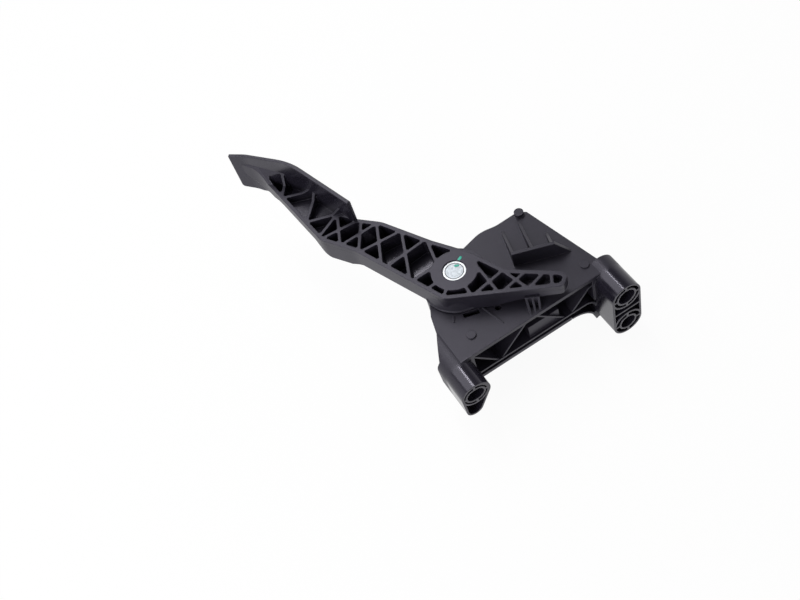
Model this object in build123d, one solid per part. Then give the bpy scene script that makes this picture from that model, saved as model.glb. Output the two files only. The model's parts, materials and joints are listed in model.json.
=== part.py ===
from build123d import *
import os
from math import atan2, cos, degrees, hypot, pi, radians, sin

# Accelerator pedal module, sizes in millimetres.
# Everything is drawn about the pivot: X runs along the row of mounting bores, Y leaves the
# mounting wall, Z is the pivot axis, and z = 0 is the open rim of the arm. The finished
# pieces are then moved so that the mouth of the main mounting bore is the origin.

# Mounting bores
wall_to_pivot = 75.0
main_bore_x = 86.0
bore_row = 122.0
bore_column = 31.0
bore_below_face = 10.2
main_bore_radius = 6.5
lower_bore_radius = 5.8
slot_bore_width = 10.8
slot_bore_length = 13.0

# Mounting lugs
main_lug_radius = 11.5
slot_lug_radius = 10.4
slot_lug_stretch = 1.2
slot_lug_tail = (-3.2, -16.3)
slot_lug_tail_radius = 6.5
lug_wall = 1.4
ring_wall = 1.4
ring_bridge = 1.6
lug_core_depth = 24.0
lug_setback = 2.0
lug_flank_start = -7.7
lug_flank_tip = 6.7
lug_flank_end = -17.0

# Arm
arm_depth = 15.0
arm_floor = 2.2
arm_flange = 2.8
arm_rib = 2.1
pocket_round = 0.9
pocket_round_share = 0.6
smallest_pocket = 6.0
hub_radius = 16.4
hub_rim = 17.4
drum_radius = 25.2
drum_top_radius = 22.4
drum_height = 9.5
drum_lip_width = 0.7
drum_lip_height = 0.8
rim_ramp_turn = -47.5
rim_ramp_start = 56.9
rim_ramp_climb = 1.76

# Foot plate of the arm
foot_plate_thickness = 3.1
foot_plate_top = 21.4
foot_plate_bottom = -17.5
foot_plate_corner = 2.8
foot_plate_bevel = 0.9
foot_ramp_start = 173.0
foot_ramp_climb = 0.37
grip_count = 9
grip_first = 14.0
grip_pitch = 9.0
grip_radius = 0.8
grip_margin = 5.0

# Travel and stops
pedal_travel = 20.0
stop_gap = 0.3
stop_rib = 1.9
full_stop_height = 13.2
full_stop_wall = 2.4
full_stop_start = 40.3
full_stop_end = 70.3
full_stop_run_out = 81.0
idle_stop_height = 9.2
idle_stop_wall = 1.6
idle_stop_start = 45.9
idle_stop_end = 55.7
idle_rib = 1.4
idle_rib_slant = 2.6
idle_rib_margin = 1.7

# Pivot stack
pin_head_radius = 8.1
pin_head_thickness = 1.8
pin_head_recess = 0.8
pin_head_clearance = 0.25
head_ring_radius = 6.5
head_ring_width = 0.5
head_ring_depth = 0.3
pin_radius = 5.0
pin_flat_depth = 1.1
pin_tail_radius = 4.0
pin_tail_grip = 3.0
bush_wall = 2.0
bush_clearance = 0.05
washer_radius = 11.0
washer_thickness = 1.0
washer_clearance = 0.2
washer_play = 0.2

# Housing
plate_thickness = 3.0
housing_wall = 2.8
pivot_boss_depth = 11.0
pivot_boss_wall = 3.5
pivot_round = 24.5
fan_round = 28.5
fan_top_angle = 52.5
fan_left = -8.0
chamber_waist_inset = 13.4
chamber_end_inset = 11.0
front_recess = 12.8
shelf_gap = 3.2
shelf_wall = 1.6
brace_wall = 1.3
brace_setback = 0.6
shelf_arch_radius = 8.0
lug_arch_radius = 19.4
lug_arch_foot = 9.0
arch_web = 1.8
lug_brace_reach = 19.2
lug_brace_drop = 6.0
lug_brace_round = 4.0
recess_box_start = 20.8
recess_box_end = 45.6
recess_box_height = 11.7
recess_box_setback = 2.0
recess_box_wall = 1.8
post_place = (66.7, 22.6)
post_radius = 3.5
post_height = 2.8
stub_radius = 3.3
stub_height = 1.1
collar_rib_width = 1.4
collar_rib_height = 0.7
face_ridge_width = 1.1
face_ridge_height = 0.5
face_hole_radius = 2.2
face_slot_length = 11.3
face_slot_width = 3.8
face_slot_angle = -17.5

# Springs and rotor
rotor_gap = 0.3
rotor_depth = 14.0
rotor_hub_radius = 9.5
rotor_arm_length = 24.0
rotor_arm_width = 9.0
rotor_arm_tip = 4.5
outer_coil_radius = 7.2
outer_wire_radius = 1.1
outer_turns = 5.5
inner_coil_radius = 4.2
inner_wire_radius = 0.75
inner_turns = 6.5
spring_length = 40.5
spring_steps = 10
wire_sides = 6
spring_end_gap = 0.05
spring_room = 2.3
spring_seat_wall = 2.6
spring_seat_margin = 3.0
cup_margin = 0.4
cup_thickness = 3.0
cup_peg_radius = 2.5
cup_peg_length = 4.0
cup_peg_clearance = 0.1
spigot_length = 4.0
spigot_clearance = 0.3
front_wall_room = 6.5

# Back cover and sensor box
cover_thickness = 3.1
cover_tongue_gap = 0.5
box_centre = (8.0, 1.0)
box_length = 48.0
box_width = 42.0
box_corner = 5.0
box_wall = 2.6
rear_bush_reach = 2.0
rear_boss_wall = 3.0
lid_thickness = 2.0
lid_inset = 0.3
seal_width = 1.2
seal_depth = 0.8
screw_head_radius = 3.4
screw_head_height = 2.2
screw_radius = 1.9
screw_length = 15.0
screw_clearance = 0.2
screw_boss_radius = 3.5
screw_boss_lap = 0.3
hub_screw_gap = 0.6
hub_screw_y = 5.0

# Sensor and plug socket
clip_thickness = 0.8
clip_width = 2.4
clip_grip = 0.6
clip_gap = 0.2
carrier_radius = 7.0
carrier_floor = 0.5
magnet_radius = 5.0
magnet_thickness = 3.0
board_gap = 1.6
board_thickness = 1.6
board_clearance = 1.4
board_room = 5.7
board_post_radius = 2.5
board_post_inset = 4.0
board_peg_radius = 1.1
board_peg_clearance = 0.2
board_peg_length = 0.6
chip_length = 4.0
chip_width = 5.0
chip_thickness = 1.0
chip_spacing = 7.0
contact_width = 0.8
contact_pitch = 4.0
contact_inset = 6.0
contact_reach = 9.0
contacts_in_row = 3
plug_base = 2.0
plug_depth = 16.0
plug_width = 20.0
plug_height = 9.2
plug_wall = 1.8
plug_corner = 1.5
latch_length = 6.0
latch_width = 7.0
latch_height = 1.4
latch_inset = 4.0

# Farther out than any part of the pedal
beyond = 400.0

# Levels from the face down to the lid
face_level = -arm_depth - washer_play - washer_thickness
plate_under = face_level - plate_thickness
bore_level = face_level - bore_below_face
lower_bore_level = bore_level - bore_column
boss_end = face_level - pivot_boss_depth
rotor_top = boss_end - rotor_gap
rotor_end = rotor_top - rotor_depth
spring_level = rotor_top - rotor_depth / 2
cup_radius = outer_coil_radius + outer_wire_radius + cup_margin
chamber_end = spring_level - cup_radius - spring_room
cover_under = chamber_end - cover_thickness
shelf_under = chamber_end + shelf_gap
shelf_top = shelf_under + shelf_wall
rear_bush_end = cover_under - rear_bush_reach
clip_top = rear_bush_end - clip_gap
clip_end = clip_top - clip_thickness
carrier_top = clip_end - clip_gap
pin_end = carrier_top - pin_tail_grip
carrier_end = pin_end - carrier_floor - magnet_thickness
board_top = carrier_end - board_gap
board_end = board_top - board_thickness
box_end = board_end - board_room
plug_level = (board_top + board_end) / 2

# Places in plan
front_wall = -rotor_arm_length - cup_radius - front_wall_room - housing_wall
front_edge = front_wall - front_recess
lug_back = front_wall - lug_setback
slot_bore_x = main_bore_x - bore_row
main_lug_side = main_bore_x - main_lug_radius
slot_lug_side = slot_bore_x + slot_lug_stretch + slot_lug_radius
shelf_arch_x = main_lug_side - shelf_arch_radius - shelf_wall / 2
lug_arch_x = main_lug_side - lug_arch_radius - shelf_wall / 2
spigot_radius = inner_coil_radius - inner_wire_radius - spigot_clearance
cup_start = rotor_arm_width / 2
spring_start = cup_start + cup_thickness
spring_seat_x = spring_start + spring_length
front_bush_radius = pin_radius + bush_clearance + bush_wall
rear_bush_radius = pin_tail_radius + bush_clearance + bush_wall
box_left = box_centre[0] - box_length / 2
box_right = box_centre[0] + box_length / 2
board_length = box_length - 2 * box_wall - 2 * board_clearance
board_width = box_width - 2 * box_wall - 2 * board_clearance
plug_face = box_right + plug_base
plug_end = plug_face + plug_depth

# Straight edges of the arm's tail that meet the stops, and the foot plate's outer line
tail_lower = ((-18.46, -15.34), (50.0, -57.1))
tail_upper = ((27.5, -21.5), (55.0, -46.0))
foot_line = [(-31.1, 83.7), (-48.2, 147.7), (-72.3, 178.5), (-81.6, 186.9)]
foot_line_rounds = [60, 30]

# Plan of the arm: corners of its channel and the rounding at each, from the pad's tip along
# the near side to the tail and back along the far side
arm_corners = [
    ((-80.5, 182.8), 0),
    ((-69.9, 168.5), 25),
    ((-61.9, 84.6), 15),
    ((-47.0, 60.5), 25),
    (tail_lower[0], 6),
    (tail_lower[1], 4.5),
    ((57.5, -51.5), 3),
    (tail_upper[1], 1.5),
    (tail_upper[0], 5),
    ((18.5, 1.0), 0),
    ((13.5, 11.5), 0),
    ((1.2, 31.5), 40),
    ((-18.3, 69.4), 25),
    (foot_line[0], 0),
    (foot_line[1], foot_line_rounds[0]),
    (foot_line[2], foot_line_rounds[1]),
    (foot_line[3], 0),
]

# Underside of the arm: place along Y, and how far it lies above the underside of the hub
arm_underside = [
    (56.0, 0.0),
    (66.0, -4.4),
    (81.0, -4.4),
    (97.0, 4.5),
    (140.0, 6.0),
    (148.0, 5.2),
    (157.0, 1.6),
    (168.2, 1.6),
    (190.0, 31.5),
]

# The same for the tail, with the place measured from the pivot along the tail's lower edge
tail_underside = [
    (26.0, 0.0),
    (32.5, 2.4),
    (43.0, 4.4),
    (56.0, 5.4),
    (90.0, 7.8),
]

# Ends of the arm's ribs in plan: behind the pad, along the beam, round the hub, in the tail
pad_ribs = [
    ((-72.5, 168.6), (-56.8, 155.0)),
    ((-66.3, 139.9), (-54.6, 155.9)),
    ((-66.0, 139.6), (-43.6, 129.9)),
    ((-62.5, 106.4), (-43.3, 126.8)),
    ((-62.5, 106.6), (-40.3, 98.0)),
    ((-60.5, 88.5), (-40.3, 98.0)),
    ((-40.3, 98.0), (-34.0, 104.0)),
    ((-40.3, 98.0), (-31.5, 83.5)),
    ((-40.3, 98.0), (-53.1, 70.0)),
    ((-60.0, 85.5), (-31.0, 82.3)),
]
beam_ribs = [
    ((-29.0, 81.5), (-43.8, 58.8)),
    ((-51.5, 71.0), (-22.0, 71.0)),
    ((-21.5, 71.5), (-36.5, 39.0)),
    ((-43.0, 56.6), (-12.5, 53.6)),
    ((-11.5, 52.5), (-27.5, 14.5)),
    ((-34.5, 33.0), (-3.0, 35.6)),
    ((-1.5, 33.5), (-6.2, 13.5)),
    ((-28.0, 11.2), (-10.0, 11.2)),
]
hub_rib_angles = [183.0, 218.0, 266.0]
tail_ribs = [
    ((14.0, -6.0), (13.7, -34.5)),
    ((1.0, -25.0), (28.5, -20.5)),
    ((25.5, -20.5), (31.0, -44.5)),
    ((15.0, -35.5), (38.5, -31.2)),
    ((30.5, -44.2), (47.5, -39.6)),
    ((50.5, -42.0), (44.3, -52.2)),
]

# Fins where ribs meet the foot plate: start at the plate, end on the rib, height
pad_fins = [
    ((-45.4, 130.7), (-51.8, 133.4), 3.0),
    ((-44.3, 125.8), (-49.2, 120.6), 3.8),
    ((-36.8, 96.6), (-43.8, 99.4), 6.5),
]

# Plan of the housing: the face's edge with its rounding, and the walled chamber below it
fan_start = (fan_round * cos(radians(fan_top_angle)), fan_round * sin(radians(fan_top_angle)))
fan_top = [(fan_start, 0), ((36.0, 27.4), 25), ((48.0, 24.8), 25), ((67.1, 25.2), 3)]
face_edge = [
    ((slot_bore_x, front_edge), 0),
    ((slot_bore_x + 1.6, lug_back + 1.0), 0),
    ((slot_bore_x + 2.8, -23.4), 4),
    ((-29.8, -11.6), 8),
    ((0.7 - pivot_round, 0.0), 0),
    *fan_top,
    ((72.2, 21.0), 2),
    ((main_bore_x + 0.6, lug_back - 3.0), 0),
    ((main_bore_x, front_edge), 0),
]
chamber_edge = [
    ((slot_lug_side - 0.6, front_wall), 2),
    ((0.9 - pivot_round, -6.5), 0),
    *fan_top,
    ((70.1, 20.5), 2),
    ((main_bore_x - chamber_waist_inset, 0.0), 20),
    ((main_bore_x - chamber_end_inset, front_wall), 2),
]

# Gussets behind the full-travel stop: place along the wall, then place and distance of the run-out
full_stop_gussets = [(41.3, 38.9, 34.1), (54.9, 51.4, 42.7), (68.5, 68.2, 24.1)]
idle_stop_ribs = [46.6, 50.8, 55.0]

# Small marks on the face, and the ends of the webs in the front recess
stub_places = [(slot_lug_side + 8.8, front_wall + 0.9), (main_lug_side + 1.8, front_wall - 0.2)]
face_slot_place = (-6.1, -26.4)
face_hole_place = (10.7, -34.0)
face_ridge = ((2.4, -27.0), (6.7, -46.4))
collar_rib = ((-17.2, -21.0), (-19.8, -25.4))
brace_tops = [-23.9, 19.5, 27.9]
brace_feet = [-6.3, -2.7, 48.4]

# Screws that hold the back cover: two at the front, one under the post, one beside the pivot
front_screw_y = front_wall + housing_wall + screw_boss_radius - screw_boss_lap
screw_places = [
    (slot_lug_side + 5.9, front_screw_y),
    (main_lug_side - 7.3, front_screw_y),
    post_place,
    (box_left - screw_head_radius - hub_screw_gap, hub_screw_y),
]


def rounded_face(corners):
    """A closed plan from corners given with the rounding at each."""
    points = [point for point, _ in corners]
    return make_face(FilletPolyline(*points, radius=[radius for _, radius in corners], close=True))


def polygon(points):
    return make_face(Polyline(*points, close=True))


def area(x_span, y_span):
    """A rectangle given by its two spans."""
    corners = [(x_span[0], y_span[0]), (x_span[1], y_span[0]), (x_span[1], y_span[1]), (x_span[0], y_span[1])]
    return polygon(corners)


def ring(outer, inner):
    return Circle(outer) - Circle(inner)


def prism(face, low, high):
    """Raise a plan face between two levels."""
    return extrude(Pos(0, 0, low) * face, amount=high - low)


def round_bars(places, radius, low, high):
    """Upright round bars at the given places."""
    return [prism(Pos(*place) * Circle(radius), low, high) for place in places]


def along_wall(face, front, back):
    """Carry a face drawn in X and Z along Y, from the front to the back."""
    return extrude(Plane.XZ.offset(-back) * face, amount=back - front)


def across(face, left, right):
    """Carry a face drawn in Y and Z along X."""
    return extrude(Plane.YZ.offset(left) * face, amount=right - left)


def bar(start, end, width):
    """A straight strip of the given width between two points."""
    run = (end[0] - start[0], end[1] - start[1])
    middle = ((start[0] + end[0]) / 2, (start[1] + end[1]) / 2)
    return Pos(*middle) * Rot(0, 0, degrees(atan2(run[1], run[0]))) * Rectangle(hypot(*run), width)


def gusset(start, end, width, level, height):
    """A thin rib standing on a level: full height at its start, run out at its end."""
    run = (end[0] - start[0], end[1] - start[1])
    length = hypot(*run)
    root = level - plate_thickness / 2
    profile = polygon([(0, root), (0, level + height), (length, level), (length, root)])
    sheet = extrude(Plane.XZ * profile, amount=width / 2, both=True)
    return Pos(*start) * Rot(0, 0, degrees(atan2(run[1], run[0]))) * sheet


def soften(sketch, radius):
    """Take the sharp corners off each region by flats, and leave the slivers solid."""
    softened = []
    for face in sketch.faces():
        if face.area > smallest_pocket:
            corner = min(radius, pocket_round_share * face.area / face.outer_wire().length)
            rounded = offset(offset(face, -corner, kind=Kind.INTERSECTION), corner)
            softened.append(make_face([flat(edge, corner) for edge in rounded.edges()]))
    return softened


def flat(edge, radius):
    """The chord of an edge that rounds a corner, or else the edge itself."""
    rounds = edge.geom_type == GeomType.CIRCLE and edge.radius < 2 * radius
    return Edge.make_line(edge @ 0, edge @ 1) if rounds else edge


def above(line):
    """Everything above a line drawn in Y and Z."""
    return across(polygon([*line, (line[-1][0], beyond), (line[0][0], beyond)]), -beyond, beyond)


def ramp(level, start, climb):
    """A level line in Y and Z that climbs from its start on."""
    return [(-beyond, level), (start, level), (3 * start, level + 2 * start * climb)]


def under_arm(rise):
    """The line of the arm's underside in Y and Z, raised by a given height."""
    level = rise - arm_depth
    return [(-beyond, level), *[(place, level + height) for place, height in arm_underside]]


def under_tail(rise):
    """What lies below the underside of the tail, raised by a given height."""
    level = rise - arm_depth
    line = [(place, level + height) for place, height in tail_underside]
    region = polygon([*line, (line[-1][0], -beyond), (line[0][0], -beyond)])
    return Rot(0, 0, stretch_angle(tail_lower)) * along_wall(region, -beyond, beyond)


def stretch_angle(stretch):
    """Direction of a straight stretch of the arm's edge, in degrees."""
    (x0, y0), (x1, y1) = stretch
    return degrees(atan2(y1 - y0, x1 - x0))


def stretch_distance(stretch):
    """How far to the left of the pivot a straight stretch of the arm's edge runs."""
    (x0, y0), (x1, y1) = stretch
    return (x1 * y0 - x0 * y1) / hypot(x1 - x0, y1 - y0)


def arm_pockets(plan):
    """The pockets between the arm's flanges, its ribs and its hub."""
    pockets = offset(plan, -arm_flange, kind=Kind.INTERSECTION) - Circle(hub_radius)
    pockets -= [bar(start, end, arm_rib) for start, end in pad_ribs + beam_ribs + tail_ribs]
    for angle in hub_rib_angles:
        reach = 2 * hub_radius
        pockets -= bar((0, 0), (reach * cos(radians(angle)), reach * sin(radians(angle))), arm_rib)
    return soften(pockets, pocket_round)


def make_foot_plate():
    """The curved plate under the foot, with a rounded lower tip."""
    line = FilletPolyline(*foot_line, radius=foot_line_rounds)
    strip = make_face(offset(line, foot_plate_thickness, side=Side.LEFT, closed=True))
    plate = prism(strip, foot_plate_bottom, foot_plate_top)
    plate &= above(ramp(foot_plate_bottom, foot_ramp_start, foot_ramp_climb))
    along = line % 1
    tip = line @ 1 + Vector(-along.Y, along.X) * (foot_plate_thickness / 2)
    tip_level = foot_plate_bottom + foot_ramp_climb * (tip.Y - foot_ramp_start)
    plate = fillet(plate.edges().sort_by_distance(Vector(tip.X, tip.Y, tip_level))[0], foot_plate_corner)
    rim = plate.faces().sort_by(Axis.Z)[-1].edges()
    top_line = Pos(0, 0, foot_plate_top) * line
    return chamfer([edge for edge in rim if top_line.distance_to(edge @ 0.5) < 0.01], foot_plate_bevel)


def grip_grooves():
    """The shallow grooves across the foot plate."""
    line = FilletPolyline(*foot_line, radius=foot_line_rounds)
    lengths = [grip_first + number * grip_pitch for number in range(grip_count)]
    spots = [line.position_at(length, position_mode=PositionMode.LENGTH) for length in lengths]
    places = [(spot.X, spot.Y) for spot in spots]
    return round_bars(places, grip_radius, foot_plate_bottom + grip_margin, foot_plate_top - grip_margin)


def make_drum():
    """The conical drum under the hub, with a thin lip round its foot."""
    lip_top = drum_lip_height - arm_depth
    top = drum_height - arm_depth
    profile = polygon([
        (0, -arm_depth),
        (drum_radius, -arm_depth),
        (drum_radius, lip_top),
        (drum_radius - drum_lip_width, lip_top),
        (drum_top_radius, top),
        (0, top),
    ])
    return revolve(Plane.XZ * profile, Axis.Z)


def make_arm():
    """The arm in one moulding: channel, ribs, hub, drum and foot plate."""
    plan = rounded_face(arm_corners) + Circle(hub_rim)
    low = -2 * arm_depth
    top = foot_plate_top + arm_depth
    floor = above(under_arm(arm_floor)) - under_tail(arm_floor)
    arm = prism(plan, low, top) & (above(under_arm(0)) - under_tail(0))
    arm -= Rot(0, 0, rim_ramp_turn) * above(ramp(0, rim_ramp_start, rim_ramp_climb))
    arm += make_drum()
    arm -= [prism(pocket, low, top) & floor for pocket in arm_pockets(plan)]
    arm += [gusset(start, end, arm_rib, 0, height) for start, end, height in pad_fins]
    arm += make_foot_plate()
    arm -= grip_grooves()
    arm -= prism(Circle(pin_head_radius + pin_head_clearance), -pin_head_recess - pin_head_thickness, 0)
    return arm - prism(Circle(pin_radius), -arm_depth, 0)


def main_lug_outline(inset):
    middle = (main_bore_x, (bore_level + lower_bore_level) / 2)
    return Pos(*middle) * Rot(0, 0, 90) * SlotCenterToCenter(bore_column, 2 * (main_lug_radius - inset))


def slot_lug_outline(inset):
    head = Pos(slot_bore_x, bore_level) * Circle(slot_lug_radius - inset)
    shoulder = Pos(slot_lug_stretch) * head
    tail_place = (slot_bore_x + slot_lug_tail[0], bore_level + slot_lug_tail[1])
    tail = Pos(*tail_place) * Circle(slot_lug_tail_radius - inset)
    return make_hull([*head.edges(), *shoulder.edges(), *tail.edges()])


def bridged(place, hollow):
    """A hollow round a bore, crossed by four bridges."""
    reach = main_lug_radius + slot_lug_radius
    return Pos(*place) * (hollow - Rectangle(reach, ring_bridge) - Rectangle(ring_bridge, reach))


def make_lugs():
    """Both mounting lugs, cored from the wall side round their bores."""
    wall = -wall_to_pivot
    main = (main_bore_x, bore_level)
    lower = (main_bore_x, lower_bore_level)
    slot = (slot_bore_x, bore_level)
    middle = (bore_level + lower_bore_level) / 2
    main_inside = main_lug_radius - lug_wall
    slot_ring = SlotOverall(slot_bore_length + 2 * ring_wall, slot_bore_width + 2 * ring_wall)
    between = main_lug_outline(lug_wall)
    between -= Pos(*main) * Circle(main_lug_radius)
    between -= Pos(*lower) * Circle(main_lug_radius)
    between -= Pos(main_bore_x, middle) * Rectangle(2 * main_lug_radius, ring_wall)
    cores = [
        bridged(main, ring(main_inside, main_bore_radius + ring_wall)),
        bridged(lower, ring(main_inside, lower_bore_radius + ring_wall)),
        bridged(slot, Circle(slot_lug_radius - lug_wall) - slot_ring),
        slot_lug_outline(lug_wall) - Pos(*slot) * Circle(slot_lug_radius),
        between,
    ]
    lugs = along_wall(main_lug_outline(0), wall, lug_back) + along_wall(slot_lug_outline(0), wall, lug_back)
    return lugs, [along_wall(core, wall, wall + lug_core_depth) for core in cores]


def make_lug_flank():
    """The hollow flank of the slot lug, which runs on beside the chamber and ends in a slant."""
    flank = along_wall(slot_lug_outline(0) - slot_lug_outline(lug_wall), lug_back, lug_flank_end)
    left = slot_bore_x - slot_lug_radius
    slant = [
        (left, lug_back),
        (slot_bore_x + lug_flank_start, lug_back),
        (slot_bore_x + lug_flank_tip, lug_flank_end),
        (left, lug_flank_end),
    ]
    return flank - prism(polygon(slant), lower_bore_level, 0)


def mounting_bores():
    """The three bores, right through the lugs."""
    outlines = [
        Pos(main_bore_x, bore_level) * Circle(main_bore_radius),
        Pos(main_bore_x, lower_bore_level) * Circle(lower_bore_radius),
        Pos(slot_bore_x, bore_level) * SlotOverall(slot_bore_length, slot_bore_width),
    ]
    return [along_wall(outline, -wall_to_pivot, lug_back) for outline in outlines]


def make_full_stop():
    """The gusseted wall that the tail's upper edge meets at full travel."""
    near = stretch_distance(tail_upper) + stop_gap
    top = face_level + full_stop_height
    root = face_level - plate_thickness / 2
    side = polygon([
        (full_stop_start, root),
        (full_stop_start, top),
        (full_stop_end, top),
        (full_stop_run_out, face_level),
        (full_stop_run_out, root),
    ])
    stop = along_wall(side, near, near + full_stop_wall)
    for start, end, reach in full_stop_gussets:
        foot = (start, near + full_stop_wall / 2)
        stop += gusset(foot, (end, reach), stop_rib, face_level, full_stop_height)
    return Rot(0, 0, stretch_angle(tail_upper) + pedal_travel) * stop


def make_idle_stop():
    """The ribbed wall that the tail's lower edge rests on when the pedal is released."""
    near = stretch_distance(tail_lower) - stop_gap
    turn = stretch_angle(tail_lower)
    foot = area((idle_stop_start, idle_stop_end), (near - idle_stop_wall, near))
    stop = Rot(0, 0, turn) * prism(foot, face_level - plate_thickness / 2, face_level + idle_stop_height)
    for place in idle_stop_ribs:
        start = Vector(place, near - idle_stop_wall / 2).rotate(Axis.Z, turn)
        end = (start.X - idle_rib_slant, front_edge + idle_rib_margin)
        stop += gusset((start.X, start.Y), end, idle_rib, face_level, idle_stop_height)
    return stop


def quarter_arch(x, level, radius):
    """The upper right quarter of a round wall, drawn in X and Z."""
    size = radius + shelf_wall
    return Pos(x, level) * (ring(size, radius) & area((0, size), (0, size)))


def make_front_recess():
    """The webbed channel between the lugs, open towards the mounting wall."""
    back = front_wall + housing_wall / 2
    left = (slot_lug_side - lug_wall, slot_lug_side + brace_wall)
    right = (main_lug_side - brace_wall, main_lug_side + lug_wall)
    box_span = (recess_box_start, recess_box_end)
    box = area(box_span, (shelf_under, shelf_top + recess_box_height))
    shelf = area((left[0], shelf_arch_x), (shelf_under, shelf_top))
    shelf += area(left, (shelf_under, face_level)) + area(right, (shelf_under, face_level))
    recess = along_wall(shelf, front_edge, back)
    shelf_arch = quarter_arch(shelf_arch_x, shelf_under - shelf_arch_radius, shelf_arch_radius)
    recess += along_wall(shelf_arch, front_edge, lug_back)
    recess += along_wall(box, front_edge + recess_box_setback, back)
    braces = [bar((x, plate_under), (y, shelf_top), brace_wall) for x, y in zip(brace_tops, brace_feet)]
    foot = main_lug_side - lug_brace_reach
    crest = plate_under - lug_brace_drop
    knee = foot + crest - shelf_top
    lug_line = [(foot, shelf_top), (knee, crest), (main_lug_side + lug_wall, crest)]
    braces.append(trace(FilletPolyline(*lug_line, radius=lug_brace_round), brace_wall))
    recess += [along_wall(brace, front_edge + brace_setback, back) for brace in braces]
    arch_level = cover_under - lug_arch_radius
    arch_span = area((lug_arch_x, main_bore_x), (lower_bore_level - lug_arch_foot, shelf_top))
    arch = quarter_arch(lug_arch_x, arch_level, lug_arch_radius) & arch_span
    web = arch_span - Pos(lug_arch_x, arch_level) * Circle(lug_arch_radius)
    recess += along_wall(arch, front_edge, lug_back)
    return recess + along_wall(web, lug_back - arch_web, lug_back)


def recess_box_hollow():
    """The box in the recess is open to the chamber behind it."""
    span = (recess_box_start + recess_box_wall, recess_box_end - recess_box_wall)
    hollow = area(span, (shelf_top, shelf_top + recess_box_height - recess_box_wall))
    front = front_edge + recess_box_setback + recess_box_wall
    return along_wall(hollow, front, front_wall + 2 * housing_wall)


def pivot_plan():
    """The plan's rounding about the pivot, wider where it shows beside the arm."""
    fan = Circle(fan_round) & area((fan_left, fan_round), (0, fan_round))
    return fan + Circle(pivot_round)


def chamber_plan():
    return rounded_face(chamber_edge) + pivot_plan()


def make_spring_seat():
    """The wall in the chamber that takes the springs, with its spigot."""
    y_span = (front_wall + housing_wall / 2, cup_radius + spring_seat_margin - rotor_arm_length)
    wall = area((spring_seat_x, spring_seat_x + spring_seat_wall), y_span)
    spigot = Pos(-rotor_arm_length, spring_level) * Circle(spigot_radius)
    seat = prism(wall, chamber_end, plate_under)
    return seat + across(spigot, spring_seat_x - spigot_length, spring_seat_x)


def make_housing():
    """The housing in one moulding: face plate, chamber, lugs, recess and stops."""
    chamber = chamber_plan()
    lugs, cores = make_lugs()
    housing = prism(rounded_face(face_edge) + pivot_plan(), plate_under, face_level)
    housing += prism(chamber - offset(chamber, -housing_wall), chamber_end, plate_under)
    housing += round_bars(screw_places, screw_boss_radius, chamber_end, plate_under)
    housing += prism(Circle(front_bush_radius + pivot_boss_wall), boss_end, plate_under)
    housing += make_spring_seat()
    housing += round_bars([post_place], post_radius, plate_under, face_level + post_height)
    housing += round_bars(stub_places, stub_radius, plate_under, face_level + stub_height)
    housing += prism(bar(*collar_rib, collar_rib_width), plate_under, face_level + collar_rib_height)
    housing += prism(bar(*face_ridge, face_ridge_width), plate_under, face_level + face_ridge_height)
    housing += lugs
    housing += make_lug_flank()
    housing += make_front_recess()
    housing += make_full_stop()
    housing += make_idle_stop()
    housing -= cores
    housing -= mounting_bores()
    housing -= recess_box_hollow()
    housing -= prism(Circle(front_bush_radius), boss_end, face_level)
    housing -= round_bars([face_hole_place], face_hole_radius, plate_under, face_level)
    slot = Rot(0, 0, face_slot_angle) * Rectangle(face_slot_length, face_slot_width)
    housing -= prism(Pos(*face_slot_place) * slot, plate_under, face_level)
    return housing - round_bars(screw_places, screw_radius, chamber_end, cover_under + screw_length)


def box_plan(inset):
    """The sensor box in plan, moved in from its outer face."""
    corner = box_corner - inset
    return Pos(*box_centre) * RectangleRounded(box_length - 2 * inset, box_width - 2 * inset, corner)


def seal_plan():
    margin = (box_wall - seal_width) / 2
    return box_plan(margin) - box_plan(margin + seal_width)


def board_corners():
    """Places of the four posts that carry the circuit board."""
    x_reach = board_length / 2 - board_post_inset
    y_reach = board_width / 2 - board_post_inset
    signs = [(-1, -1), (1, -1), (-1, 1), (1, 1)]
    return [(box_centre[0] + x * x_reach, box_centre[1] + y * y_reach) for x, y in signs]


def make_plug_socket():
    """The shroud of the plug socket on the sensor box's end, with its latch ramp."""
    place = Pos(box_centre[1], plug_level)
    inside = RectangleRounded(plug_width, plug_height, plug_corner)
    outside = offset(inside, plug_wall)
    socket = across(place * outside, box_right, plug_end)
    socket -= across(place * inside, plug_face, plug_end)
    top = plug_level + plug_height / 2 + plug_wall
    catch = plug_end - latch_inset
    root = top - plug_wall / 2
    ramp = polygon([
        (catch, root),
        (catch - latch_length, root),
        (catch - latch_length, top + latch_height),
        (catch, top),
    ])
    return socket + along_wall(ramp, box_centre[1] - latch_width / 2, box_centre[1] + latch_width / 2)


def make_back_cover():
    """The cover under the housing, with the sensor box, its posts and the plug socket."""
    tongue_span = (slot_lug_side + cover_tongue_gap, lug_arch_x - cover_tongue_gap)
    tongue = area(tongue_span, (front_edge, front_wall + housing_wall))
    plan = chamber_plan() + tongue
    plan += [Pos(*place) * Circle(screw_boss_radius) for place in screw_places]
    cover = prism(plan, cover_under, chamber_end)
    cover += prism(box_plan(0) - box_plan(box_wall), box_end, cover_under)
    cover += prism(Circle(rear_bush_radius + rear_boss_wall), rear_bush_end, cover_under)
    cover += round_bars(board_corners(), board_post_radius, board_top, cover_under)
    cover += round_bars(board_corners(), board_peg_radius, board_end - board_peg_length, board_top)
    cover += make_plug_socket()
    cover -= prism(seal_plan(), box_end, box_end + seal_depth)
    cover -= prism(Circle(rear_bush_radius), rear_bush_end, chamber_end)
    cover -= make_contacts()
    return cover - round_bars(screw_places, screw_radius + screw_clearance, cover_under, chamber_end)


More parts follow.
